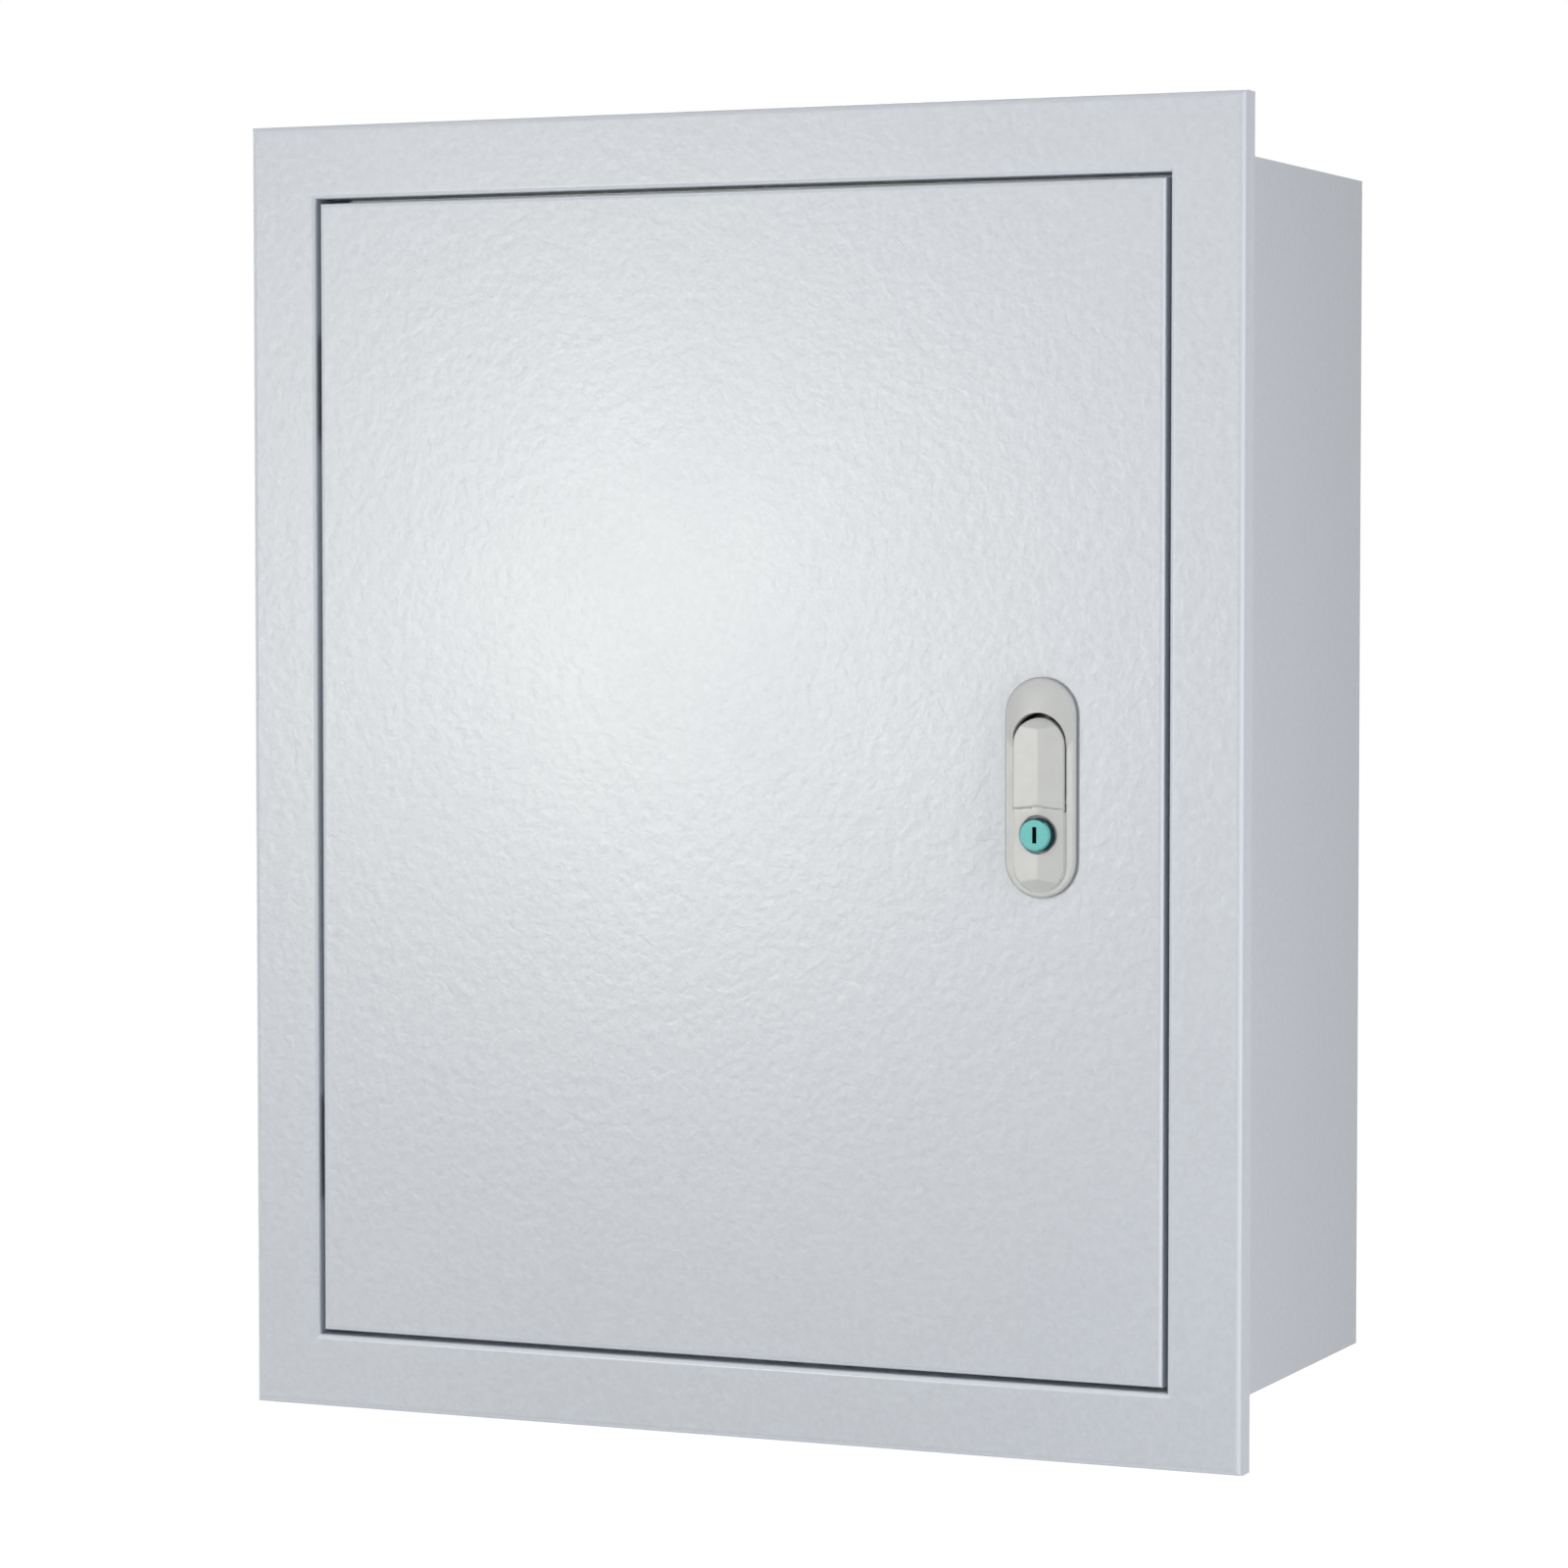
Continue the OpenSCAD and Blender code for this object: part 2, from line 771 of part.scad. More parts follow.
module lock_bezel() {
    color(LOCK_PAINT) at_lock() difference() {
        union() {
            bevelled_oval(bezel_w, bezel_h, bezel_t, bezel_bevel);
            y_prism(0, spigot_d) stadium(spigot_w, spigot_h);
            bezel_foot();
            bezel_head();
            translate([0, 0, key_z]) y_bar(lock_barrel_r, 0, lock_barrel_y);
        }
        lever_pocket();
        translate([0, 0, key_z]) {
            y_bar(key_r + run_fit, -2 * head_h, key_seat_y + part_gap);
            y_bar(key_r + 1, -2 * head_h, -crown_h + 1.6);
            y_bar(key_shaft_r + run_fit, 0, lock_barrel_y + 1);
        }
        translate([0, pivot_y, pivot_z]) rotate([0, 90, 0])
            cylinder(r = lever_pin_r + run_fit, h = spigot_w + 1, center = true);
        at_clamp_screws() y_bar(m4_r + thread_gap, spigot_d - m4_grip, spigot_d + 1);
    }
}

// A channel that draws the bezel against the door from behind
module lock_clamp() {
    leg_x = spigot_w / 2 + clamp_leg_gap;
    clamp_h = spigot_h;
    color(ZINC) at_lock() difference() {
        union() {
            translate([-leg_x - clamp_t, spigot_d, -clamp_h / 2])
                cube([2 * (leg_x + clamp_t), clamp_t, clamp_h]);
            both_sides() translate([leg_x, door_skin_y, -clamp_h / 2])
                cube([clamp_t, spigot_d + clamp_t - door_skin_y, clamp_h]);
        }
        translate([0, 0, key_z]) y_bar(lock_barrel_r + part_gap, 0, spigot_d + clamp_t + 1);
        at_clamp_screws() y_bar(m4_clear_r, 0, spigot_d + clamp_t + 1);
    }
}

module lock_screws() {
    color(ZINC) at_lock() at_clamp_screws() translate([0, spigot_d + clamp_t, 0])
        rotate([0, 0, 180]) low_screw(m4_r, m4_head_r, m4_head_h, m4_grip + clamp_t - 0.5);
}

module lever_pin() {
    color(ZINC) at_lock() translate([0, pivot_y, pivot_z]) rotate([0, 90, 0])
        cylinder(r = lever_pin_r, h = spigot_w, center = true);
}

// Return spring of the lever: a coil round the pin whose long leg lies on the
// floor of the pocket
// The middle line of its wire: X along the coil, then down to the floor and along it
function spring_path() = concat(
    [for (i = [0 : spring_turns * spring_steps]) let (a = 360 * i / spring_steps)
        [-spring_half + spring_pitch * i / spring_steps, spring_r * cos(a), spring_r * sin(a)]],
    [[spring_half + 0.3, spring_r + 0.3, 1.2],
     [spring_half + 0.4, pocket_floor - pivot_y - 1.2, 3],
     [spring_half + 0.4, pocket_floor - pivot_y - spring_wire_r, 4.5],
     [spring_half + 0.4, pocket_floor - pivot_y - spring_wire_r, spring_leg_z]]
);

function unit(v) = v / norm(v);
function path_dir(p, i) = unit(p[min(i + 1, len(p) - 1)] - p[max(i - 1, 0)]);
// Two directions across the wire; X is never along the coil or the leg
function path_side(d) = unit(cross([1, 0, 0], d));
function path_ring(p, i) = let (d = path_dir(p, i), u = path_side(d), v = cross(d, u))
    [for (k = [0 : spring_sides - 1]) let (a = 360 * k / spring_sides)
        p[i] + spring_wire_r * (cos(a) * u + sin(a) * v)];

module swept_wire(p) {
    n = len(p);
    s = spring_sides;
    polyhedron(
        points = [for (i = [0 : n - 1]) each path_ring(p, i)],
        faces = concat(
            [[for (k = [0 : s - 1]) k]],
            [for (i = [0 : n - 2], k = [0 : s - 1])
                [i * s + k, (i + 1) * s + k, (i + 1) * s + (k + 1) % s, i * s + (k + 1) % s]],
            [[for (k = [s - 1 : -1 : 0]) (n - 1) * s + k]]
        )
    );
}

module lever_spring() {
    color(ZINC) at_lock() translate([0, pivot_y, pivot_z]) swept_wire(spring_path());
}

// The outline seen from the front and the crowned top, as one solid
module lever_blank() {
    low_z = pivot_z - pivot_r - 1;
    back = pivot_y + pivot_r + 1;
    intersection() {
        y_prism(-crown_h - 1, back) {
            translate([0, lever_tip - lever_w / 2]) circle(d = lever_w);
            translate([-lever_w / 2, low_z])
                square([lever_w, lever_tip - lever_w / 2 - low_z]);
        }
        translate([0, 0, low_z - 1]) linear_extrude(lever_tip - low_z + 2)
            crown_section(back + 1);
    }
}

module pull_lever() {
    tip_round = 4.5;
    cavity_w = 2 * spring_half + 3;
    color(LOCK_PAINT) at_lock() difference() {
        union() {
            intersection() {
                lever_blank();
                x_prism(lever_w + 2) polygon([
                    [lever_back, pivot_z], [-crown_h - 1, pivot_z],
                    [-crown_h - 1, lever_tip - tip_round], [-crown_h, lever_tip - tip_round],
                    [-crown_h + 2.4, lever_tip], [lever_back, lever_tip]
                ]);
            }
            intersection() {
                lever_blank();
                x_prism(lever_w + 2) translate([pivot_y, pivot_z]) circle(r = pivot_r);
            }
        }
        translate([0, pivot_y, pivot_z]) rotate([0, 90, 0]) {
            cylinder(r = lever_pin_r + run_fit, h = lever_w + 2, center = true);
            cylinder(r = spring_cavity_r, h = cavity_w, center = true);
        }
        translate([-cavity_w / 2, pivot_y, pivot_z - spring_cavity_r])
            cube([cavity_w, 2 * pivot_r, spring_cavity_r + spring_leg_z + 1]);
    }
}

module key_rotor() {
    stub_r = m5_r;
    stub_end = cam_y + cam_t + cam_washer_t + m5_nut_h + 1.5;
    chamfer = 0.5;
    slot_w = 1.7;
    slot_h = 6.4;
    slot_d = 3;
    color(TEAL) at_lock() translate([0, 0, key_z]) difference() {
        union() {
            y_bar(key_r, -key_h + chamfer, key_seat_y);
            translate([0, -key_h + chamfer, 0]) rotate([90, 0, 0])
                cylinder(r1 = key_r, r2 = key_r - chamfer, h = chamfer);
            y_bar(key_shaft_r, key_seat_y - 1, cam_y - part_gap);
            translate([-cam_square / 2, cam_y - part_gap, -cam_square / 2])
                cube([cam_square, cam_t + part_gap, cam_square]);
            y_bar(stub_r, cam_y, stub_end);
        }
        translate([-slot_w / 2, -key_h - 1, -slot_h / 2]) cube([slot_w, slot_d + 1, slot_h]);
    }
}

// The cam hangs down when unlocked and swings behind the frame's channel
module lock_cam() {
    color(ZINC) at_lock() translate([0, 0, key_z]) difference() {
        y_prism(cam_y, cam_y + cam_t) {
            circle(r = cam_hub_r);
            translate([-cam_w / 2, -cam_l + 2]) square([cam_w, cam_l - 2]);
            translate([-cam_w / 2 + 2, -cam_l]) square([cam_w - 4, 3]);
            for (s = [-1, 1]) translate([s * (cam_w / 2 - 2), -cam_l + 2]) circle(r = 2);
        }
        translate([0, cam_y + cam_t / 2, 0])
            cube([cam_square + 2 * run_fit, cam_t + 2, cam_square + 2 * run_fit], center = true);
    }
}

module cam_washer() {
    color(ZINC) at_lock() translate([0, cam_y + cam_t, key_z])
        washer(cam_hub_r - 1.5, m5_r + thread_gap, cam_washer_t);
}

module cam_nut() {
    color(ZINC) at_lock() translate([0, cam_y + cam_t + cam_washer_t, key_z])
        hex_nut(m5_nut_af, m5_nut_h, m5_r + thread_gap);
}

body_shell();
top_panel();
bottom_panel();
frame_top_rail();
frame_bottom_rail();
frame_hinge_stile();
frame_lock_stile();
frame_screws();
frame_nuts();
upper_hinge_bracket();
lower_hinge_bracket();
hinge_pins();
mounting_plate();
plate_studs();
plate_spacers();
plate_washers();
plate_nuts();
earth_stud();
earth_washers();
earth_nuts();
door_panel();
door_gasket();
upper_hinge_leaf();
lower_hinge_leaf();
door_earth_stud();
door_earth_washers();
door_earth_nuts();
lock_bezel();
lock_clamp();
lock_screws();
lever_pin();
lever_spring();
pull_lever();
key_rotor();
lock_cam();
cam_washer();
cam_nut();
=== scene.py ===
import json
import math

import bmesh
import bpy
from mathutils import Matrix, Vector


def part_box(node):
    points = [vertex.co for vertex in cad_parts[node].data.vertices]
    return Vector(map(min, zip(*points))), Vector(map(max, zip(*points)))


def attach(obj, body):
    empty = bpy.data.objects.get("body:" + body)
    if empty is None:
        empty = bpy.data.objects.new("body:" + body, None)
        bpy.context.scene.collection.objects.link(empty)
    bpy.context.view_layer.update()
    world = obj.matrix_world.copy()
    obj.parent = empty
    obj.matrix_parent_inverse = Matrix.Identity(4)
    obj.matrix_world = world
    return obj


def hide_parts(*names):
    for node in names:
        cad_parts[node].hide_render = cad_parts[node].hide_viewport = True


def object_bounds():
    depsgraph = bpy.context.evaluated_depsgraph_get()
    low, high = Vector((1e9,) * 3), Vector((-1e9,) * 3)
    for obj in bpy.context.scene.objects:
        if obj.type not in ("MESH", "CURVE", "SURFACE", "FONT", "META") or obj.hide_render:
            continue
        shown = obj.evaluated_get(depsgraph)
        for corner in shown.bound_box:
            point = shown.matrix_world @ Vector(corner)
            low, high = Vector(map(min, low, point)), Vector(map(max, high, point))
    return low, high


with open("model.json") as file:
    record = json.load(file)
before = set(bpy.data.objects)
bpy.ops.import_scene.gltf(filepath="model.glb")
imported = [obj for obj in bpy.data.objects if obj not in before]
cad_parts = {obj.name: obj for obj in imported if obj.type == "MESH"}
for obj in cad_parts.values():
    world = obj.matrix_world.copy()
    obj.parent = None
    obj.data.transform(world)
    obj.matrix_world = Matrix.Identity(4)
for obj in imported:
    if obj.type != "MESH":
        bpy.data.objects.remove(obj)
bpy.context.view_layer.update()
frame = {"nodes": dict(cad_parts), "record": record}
nodes = frame["nodes"]

MM = 0.001

# The camera stands to the right of the door and a little above its middle
CAMERA_AT = (0.83337, -2.07074, 0.08997)
CAMERA_YAW = 23.5897
CAMERA_PITCH = 2.6129
CAMERA_LENS = 114.83
SENSOR = 36.0

# The box hangs on a wall in use, so the floor lies well below it
FLOOR_DROP = 0.30
FLOOR_SIZE = 80.0
# Strength of the floor's glow, and its share in what the camera sees
FLOOR_GLOW = 1.2
FLOOR_GLOW_SHARE = 0.8

M5_R = 2.5 * MM
M6_R = 3.0 * MM
M6_PITCH = 1.0 * MM

# The lock's middle, and half the length of its straight sides
LOCK_X = 136.5 * MM
LOCK_Z = -1.6 * MM
LOCK_STRAIGHT = 28.75 * MM


# ---- camera, light and floor -------------------------------------------------

def make_camera():
    data = bpy.data.cameras.new("camera")
    data.sensor_width = SENSOR
    data.lens = CAMERA_LENS
    camera = bpy.data.objects.new("camera", data)
    camera.location = CAMERA_AT
    camera.rotation_euler = (
        math.radians(90 - CAMERA_PITCH), 0, math.radians(CAMERA_YAW))
    bpy.context.scene.collection.objects.link(camera)
    bpy.context.scene.camera = camera


def area_light(name, place, target, width, height, power, colour=(1, 1, 1)):
    data = bpy.data.lights.new(name, "AREA")
    data.shape = "RECTANGLE"
    data.size = width
    data.size_y = height
    data.energy = power
    data.color = colour
    lamp = bpy.data.objects.new(name, data)
    lamp.location = place
    aim = Vector(target) - Vector(place)
    lamp.rotation_euler = aim.to_track_quat("-Z", "Y").to_euler()
    bpy.context.scene.collection.objects.link(lamp)


def make_lights():
    area_light("key_softbox", (-1.716, -3.85, 0.023), (-0.028, -0.218, 0.067), 0.50, 0.56, 41,
               (1.0, 0.985, 0.90))
    area_light("side_strip", (0.62, -0.34, 0.0), (0.21, -0.2, 0.0), 0.10, 0.90, 1.37)
    area_light("front_fill", (-1.2, -3.2, 1.6), (0, -0.2, 0), 2.4, 1.6, 33)
    area_light("back_fill", (-0.8, 2.6, 0.9), (0, 0, 0), 1.6, 1.6, 16)


def seen_ray(tree):
    """1 for rays that show the background itself: from the camera, mirrors and glass."""
    path = tree.nodes.new("ShaderNodeLightPath")
    first = math_node(tree, "MAXIMUM", path.outputs["Is Camera Ray"],
                      path.outputs["Is Glossy Ray"])
    return math_node(tree, "MAXIMUM", first, path.outputs["Is Transmission Ray"])


def make_world(light_level=0.24):
    world = bpy.data.worlds.new("studio")
    bpy.context.scene.world = world
    world.use_nodes = True
    tree = world.node_tree
    tree.nodes.clear()
    output = tree.nodes.new("ShaderNodeOutputWorld")
    shown = tree.nodes.new("ShaderNodeBackground")
    light = tree.nodes.new("ShaderNodeBackground")
    mix = tree.nodes.new("ShaderNodeMixShader")
    shown.inputs["Strength"].default_value = 1.0
    shown.inputs["Color"].default_value = (1, 1, 1, 1)
    light.inputs["Strength"].default_value = light_level
    light.inputs["Color"].default_value = (0.97, 0.985, 1.0, 1)
    tree.links.new(seen_ray(tree), mix.inputs[0])
    tree.links.new(light.outputs[0], mix.inputs[1])
    tree.links.new(shown.outputs[0], mix.inputs[2])
    tree.links.new(mix.outputs[0], output.inputs["Surface"])


def make_floor():
    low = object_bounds()[0][2] - FLOOR_DROP
    mesh = bpy.data.meshes.new("floor")
    half = FLOOR_SIZE / 2
    corners = [(-half, -half, low), (half, -half, low), (half, half, low), (-half, half, low)]
    mesh.from_pydata(corners, [], [(0, 1, 2, 3)])
    floor = bpy.data.objects.new("floor", mesh)
    bpy.context.scene.collection.objects.link(floor)
    material = bpy.data.materials.new("floor_paper")
    material.use_nodes = True
    tree = material.node_tree
    tree.nodes.clear()
    output = tree.nodes.new("ShaderNodeOutputMaterial")
    paper = tree.nodes.new("ShaderNodeBsdfDiffuse")
    paper.inputs["Color"].default_value = (0.86, 0.86, 0.86, 1)
    glow = tree.nodes.new("ShaderNodeEmission")
    glow.inputs["Strength"].default_value = FLOOR_GLOW
    share = math_node(tree, "MULTIPLY", seen_ray(tree), FLOOR_GLOW_SHARE)
    mix = tree.nodes.new("ShaderNodeMixShader")
    tree.links.new(share, mix.inputs[0])
    tree.links.new(paper.outputs[0], mix.inputs[1])
    tree.links.new(glow.outputs[0], mix.inputs[2])
    tree.links.new(mix.outputs[0], output.inputs["Surface"])
    mesh.materials.append(material)


# ---- shader helpers ----------------------------------------------------------

def math_node(tree, operation, first, second=None, third=None, clamp=False):
    node = tree.nodes.new("ShaderNodeMath")
    node.operation = operation
    node.use_clamp = clamp
    for i, value in enumerate((first, second, third)):
        if value is None:
            continue
        if isinstance(value, (int, float)):
            node.inputs[i].default_value = value
        else:
            tree.links.new(value, node.inputs[i])
    return node.outputs[0]


def object_place(tree):
    return tree.nodes.new("ShaderNodeTexCoord").outputs["Object"]


def noise(tree, place, scale, detail=2.0, roughness=0.5, distortion=0.0):
    node = tree.nodes.new("ShaderNodeTexNoise")
    node.inputs["Scale"].default_value = scale
    node.inputs["Detail"].default_value = detail
    node.inputs["Roughness"].default_value = roughness
    node.inputs["Distortion"].default_value = distortion
    tree.links.new(place, node.inputs["Vector"])
    return node.outputs[0]


def cells(tree, place, scale, feature="SMOOTH_F1", output="Distance"):
    node = tree.nodes.new("ShaderNodeTexVoronoi")
    node.feature = feature
    node.inputs["Scale"].default_value = scale
    if feature == "SMOOTH_F1":
        node.inputs["Smoothness"].default_value = 1.0
    tree.links.new(place, node.inputs["Vector"])
    return node.outputs[output]


def ramp(tree, value, stops):
    """stops: (position, colour) pairs."""
    node = tree.nodes.new("ShaderNodeValToRGB")
    points = node.color_ramp.elements
    while len(points) < len(stops):
        points.new(0.5)
    for point, (position, colour) in zip(points, stops):
        point.position = position
        point.color = (*colour, 1)
    tree.links.new(value, node.inputs[0])
    return node.outputs[0]


def spread(tree, value, low, high, start=0.3, end=0.7):
    node = tree.nodes.new("ShaderNodeMapRange")
    node.inputs["From Min"].default_value = start
    node.inputs["From Max"].default_value = end
    node.inputs["To Min"].default_value = low
    node.inputs["To Max"].default_value = high
    tree.links.new(value, node.inputs["Value"])
    return node.outputs[0]


def bump(tree, height, distance, strength=1.0):
    node = tree.nodes.new("ShaderNodeBump")
    node.inputs["Distance"].default_value = distance
    node.inputs["Strength"].default_value = strength
    tree.links.new(height, node.inputs["Height"])
    return node.outputs[0]


def new_material(name, metallic=0.0, specular=0.5, coat=0.0, coat_roughness=0.1):
    material = bpy.data.materials.new(name)
    material.use_nodes = True
    tree = material.node_tree
    shader = tree.nodes["Principled BSDF"]
    shader.inputs["Metallic"].default_value = metallic
    shader.inputs["Specular IOR Level"].default_value = specular
    shader.inputs["Coat Weight"].default_value = coat
    shader.inputs["Coat Roughness"].default_value = coat_roughness
    return material, tree, shader


def scaled(colour, factor):
    return tuple(min(1.0, channel * factor) for channel in colour)


def depth_of(tree, vector):
    """The Y part of a vector."""
    node = tree.nodes.new("ShaderNodeSeparateXYZ")
    tree.links.new(vector, node.inputs[0])
    return node.outputs[1]


def facing_of(tree):
    """The Y part of the surface's own direction: -1 on a front face."""
    return depth_of(tree, tree.nodes.new("ShaderNodeTexCoord").outputs["Normal"])


def from_lock_line(tree, place, reach):
    """Distance from the upright line of half length reach through the lock's middle."""
    parts = tree.nodes.new("ShaderNodeSeparateXYZ")
    tree.links.new(place, parts.inputs[0])
    across = math_node(tree, "SUBTRACT", parts.outputs[0], LOCK_X)
    up = math_node(tree, "ABSOLUTE", math_node(tree, "SUBTRACT", parts.outputs[2], LOCK_Z))
    beyond = math_node(tree, "MAXIMUM", math_node(tree, "SUBTRACT", up, reach), 0.0)
    squares = math_node(tree, "MULTIPLY_ADD", across, across,
                        math_node(tree, "MULTIPLY", beyond, beyond))
    return math_node(tree, "SQRT", squares)


def mixed(tree, share, first, second):
    node = tree.nodes.new("ShaderNodeMix")
    node.data_type = "RGBA"
    tree.links.new(share, node.inputs["Factor"])
    for name, colour in (("A", first), ("B", second)):
        socket = next(i for i in node.inputs if i.name == name and i.type == "RGBA")
        if isinstance(colour, tuple):
            socket.default_value = (*colour, 1)
        else:
            tree.links.new(colour, socket)
    return next(o for o in node.outputs if o.type == "RGBA")


# ---- materials ---------------------------------------------------------------

def powder_coat():
    """Light blue-grey powder coat with an orange-peel grain of about 4 mm."""
    colour = (0.605, 0.638, 0.700)
    material, tree, shader = new_material("powder_coat", specular=0.5)
    place = object_place(tree)
    tone = noise(tree, place, 9.0, detail=3.0)
    # Painted shading of the orange-peel grain: a fine speckle in the colour, added to a broad
    # random tone
    peel_shade_speckle = noise(tree, place, 420.0, detail=2.0, roughness=0.6)
    tone_and_peel_shade = math_node(tree, "MULTIPLY_ADD", tone, 0.35, peel_shade_speckle)
    colours = ramp(tree, tone_and_peel_shade, [(0.5, scaled(colour, 0.965)), (0.85, scaled(colour, 1.035))])
    # Painted highlight: the colour is lightened where the surface turns 45 degrees from the
    # front, as on every fold
    squared = math_node(tree, "POWER", math_node(tree, "ABSOLUTE", facing_of(tree)), 2.0)
    fold_highlight = math_node(tree, "MULTIPLY", math_node(tree, "MULTIPLY", squared, 4.0),
                     math_node(tree, "SUBTRACT", 1.0, squared), clamp=True)
    tree.links.new(mixed(tree, fold_highlight, colours, scaled(colour, 1.25)),
                   shader.inputs["Base Color"])
    tree.links.new(spread(tree, tone, 0.29, 0.31), shader.inputs["Roughness"])
    grain = noise(tree, place, 240.0, detail=1.5, roughness=0.5, distortion=0.8)
    peel = cells(tree, place, 210.0)
    height = math_node(tree, "MULTIPLY_ADD", peel, 0.7, grain)
    tree.links.new(bump(tree, height, 0.07 * MM, 1.0), shader.inputs["Normal"])
    return material


def lock_paint():
    """Smooth warm grey paint over a die casting."""
    colour = (0.595, 0.606, 0.603)
    material, tree, shader = new_material("lock_paint", specular=0.5, coat=0.15,
                                          coat_roughness=0.25)
    place = object_place(tree)
    tone = noise(tree, place, 70.0, detail=4.0)
    colours = ramp(tree, tone, [(0.3, scaled(colour, 0.96)), (0.7, scaled(colour, 1.02))])
    # Painted shade: darker round the foot of the rim where it meets the door, and near black
    # inside the pocket
    depth = depth_of(tree, place)
    outer = math_node(tree, "GREATER_THAN", from_lock_line(tree, place, LOCK_STRAIGHT), 13.3 * MM)
    rim_foot_shade = math_node(tree, "MULTIPLY", outer,
                    spread(tree, depth, 0.0, 1.0, -222.45 * MM, -221.4 * MM))
    pocket_shade = spread(tree, depth, 0.0, 1.0, -221.0 * MM, -219.6 * MM)
    rim_shaded = mixed(tree, rim_foot_shade, colours, (0.30, 0.30, 0.29))
    tree.links.new(mixed(tree, pocket_shade, rim_shaded, (0.07, 0.07, 0.065)),
                   shader.inputs["Base Color"])
    tree.links.new(spread(tree, noise(tree, place, 240.0, detail=3.0), 0.36, 0.46),
                   shader.inputs["Roughness"])
    skin = noise(tree, place, 700.0, detail=3.0)
    tree.links.new(bump(tree, skin, 0.03 * MM, 0.4), shader.inputs["Normal"])
    return material


def teal_lacquer():
    """Blue-green lacquer, light on the rotor's face; the dark round it and in the slot is painted
    shade.
    """
    colour = (0.092, 0.368, 0.365)
    material, tree, shader = new_material("teal_lacquer", metallic=0.25, specular=0.4,
                                          coat=0.1, coat_roughness=0.3)
    place = object_place(tree)
    tone = noise(tree, place, 500.0, detail=3.0)
    colours = ramp(tree, tone, [(0.3, scaled(colour, 0.88)), (0.7, scaled(colour, 1.12))])
    key_line = from_lock_line(tree, place, 18.4 * MM)
    # Painted shade: the slot's walls and the rotor's sunk side turn near black and lose sheen
    slot = math_node(tree, "MULTIPLY", spread(tree, facing_of(tree), 0.0, 1.0, -0.95, -0.75),
                     math_node(tree, "LESS_THAN", key_line, 4.0 * MM))
    sunk_side_shade = spread(tree, depth_of(tree, place), 0.0, 1.0, -227.8 * MM, -227.3 * MM)
    rotor_shade = math_node(tree, "MAXIMUM", slot, sunk_side_shade)
    tree.links.new(mixed(tree, rotor_shade, colours, (0.012, 0.066, 0.070)),
                   shader.inputs["Base Color"])
    tree.links.new(math_node(tree, "MULTIPLY_ADD", rotor_shade, -0.3, 0.4),
                   shader.inputs["Specular IOR Level"])
    tree.links.new(spread(tree, tone, 0.38, 0.48), shader.inputs["Roughness"])
    skin = noise(tree, place, 1200.0, detail=2.0)
    tree.links.new(bump(tree, skin, 0.02 * MM, 0.4), shader.inputs["Normal"])
    return material


def zinc_plate():
    """Bright zinc plating, faintly mottled."""
    colour = (0.58, 0.60, 0.62)
    material, tree, shader = new_material("zinc_plate", metallic=1.0)
    place = object_place(tree)
    tone = noise(tree, place, 160.0, detail=5.0, roughness=0.6)
    colours = ramp(tree, tone, [(0.3, scaled(colour, 0.86)), (0.55, colour),
                                (0.75, scaled((0.62, 0.62, 0.58), 1.06))])
    tree.links.new(colours, shader.inputs["Base Color"])
    tree.links.new(spread(tree, noise(tree, place, 420.0, detail=4.0), 0.26, 0.42),
                   shader.inputs["Roughness"])
    skin = noise(tree, place, 900.0, detail=3.0)
    tree.links.new(bump(tree, skin, 0.02 * MM, 0.5), shader.inputs["Normal"])
    return material


def galvanised_sheet():
    """Hot-dip galvanised sheet with a spangle of about 12 mm."""
    material, tree, shader = new_material("galvanised_sheet", metallic=1.0)
    place = object_place(tree)
    drift = noise(tree, place, 40.0, detail=2.0)
    moved = tree.nodes.new("ShaderNodeVectorMath")
    moved.operation = "MULTIPLY_ADD"
    moved.inputs[1].default_value = (0.012, 0.012, 0.012)
    tree.links.new(drift, moved.inputs[0])
    tree.links.new(place, moved.inputs[2])
    spangle = cells(tree, moved.outputs[0], 85.0, "F1", "Color")
    grey = tree.nodes.new("ShaderNodeSeparateColor")
    tree.links.new(spangle, grey.inputs[0])
    colours = ramp(tree, grey.outputs[0], [(0.0, (0.38, 0.40, 0.42)), (1.0, (0.52, 0.54, 0.56))])
    tree.links.new(colours, shader.inputs["Base Color"])
    tree.links.new(spread(tree, grey.outputs[1], 0.46, 0.56), shader.inputs["Roughness"])
    skin = noise(tree, place, 600.0, detail=3.0)
    tree.links.new(bump(tree, skin, 0.02 * MM, 0.4), shader.inputs["Normal"])
    return material


def brass():
    colour = (0.70, 0.50, 0.22)
    material, tree, shader = new_material("brass", metallic=1.0)
    place = object_place(tree)
    tone = noise(tree, place, 220.0, detail=4.0)
    colours = ramp(tree, tone, [(0.3, scaled(colour, 0.84)), (0.7, scaled(colour, 1.06))])
    tree.links.new(colours, shader.inputs["Base Color"])
    tree.links.new(spread(tree, tone, 0.24, 0.38), shader.inputs["Roughness"])
    return material


def gasket_rubber():
    """Dark moulded seal with a fine-pored skin."""
    colour = (0.035, 0.036, 0.038)
    material, tree, shader = new_material("gasket_rubber", specular=0.35)
    place = object_place(tree)
    tone = noise(tree, place, 120.0, detail=4.0)
    colours = ramp(tree, tone, [(0.3, scaled(colour, 0.8)), (0.7, scaled(colour, 1.3))])
    tree.links.new(colours, shader.inputs["Base Color"])
    tree.links.new(spread(tree, tone, 0.62, 0.78), shader.inputs["Roughness"])
    pores = cells(tree, place, 1400.0)
    tree.links.new(bump(tree, pores, 0.08 * MM, 0.5), shader.inputs["Normal"])
    return material


